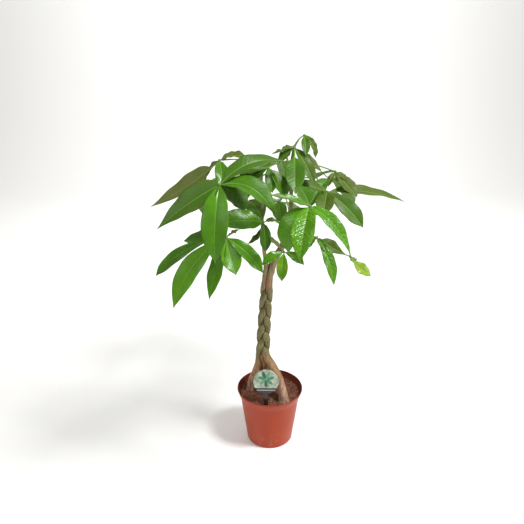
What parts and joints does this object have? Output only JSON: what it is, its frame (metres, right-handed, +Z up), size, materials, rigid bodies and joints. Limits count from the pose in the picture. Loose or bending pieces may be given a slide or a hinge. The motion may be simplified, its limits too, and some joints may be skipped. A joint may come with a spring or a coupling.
{
  "type": "potted money tree",
  "caption": "Small indoor tree with a plaited trunk and a crown of glossy palmate leaves, standing in a round tapered nursery pot with soil and a plain tag.",
  "frame": {"origin": "centre of the pot's base, on the surface it stands on", "axes": "+Z up along the pot's axis, -Y to the front, where the tag stands, +X to the right"},
  "size_m": [0.488, 0.496, 0.6526],
  "materials": {
    "pot": "terracotta-coloured moulded plastic with a soft sheen",
    "soil": "damp, crumbly peat and bark compost",
    "bark": "smooth olive-grey young bark, tan at the feet",
    "leaf": "leathery green leaf, glossy on top",
    "tag": "smooth pale plastic card"
  },
  "bodies": {
    "root": {"pot": "pot", "soil": "soil", "stem_back_foot": "bark", "stem_front_foot": "bark", "stem_left_foot": "bark", "plant_tag": "tag", "leaf_front_left": "leaf", "leaf_upper_left": "leaf", "leaf_low_left": "leaf", "leaf_centre_left": "leaf", "leaf_centre_top": "leaf", "leaf_top": "leaf", "leaf_tip": "leaf", "leaf_upper_right": "leaf", "leaf_mid_right": "leaf", "leaf_front_right": "leaf", "leaf_far_right": "leaf", "leaf_low_right": "leaf", "leaf_collar": "leaf", "leaf_back_left": "leaf", "leaf_back_centre": "leaf", "leaf_back_right": "leaf", "leaf_low_back": "leaf"}
  },
  "joints": []
}
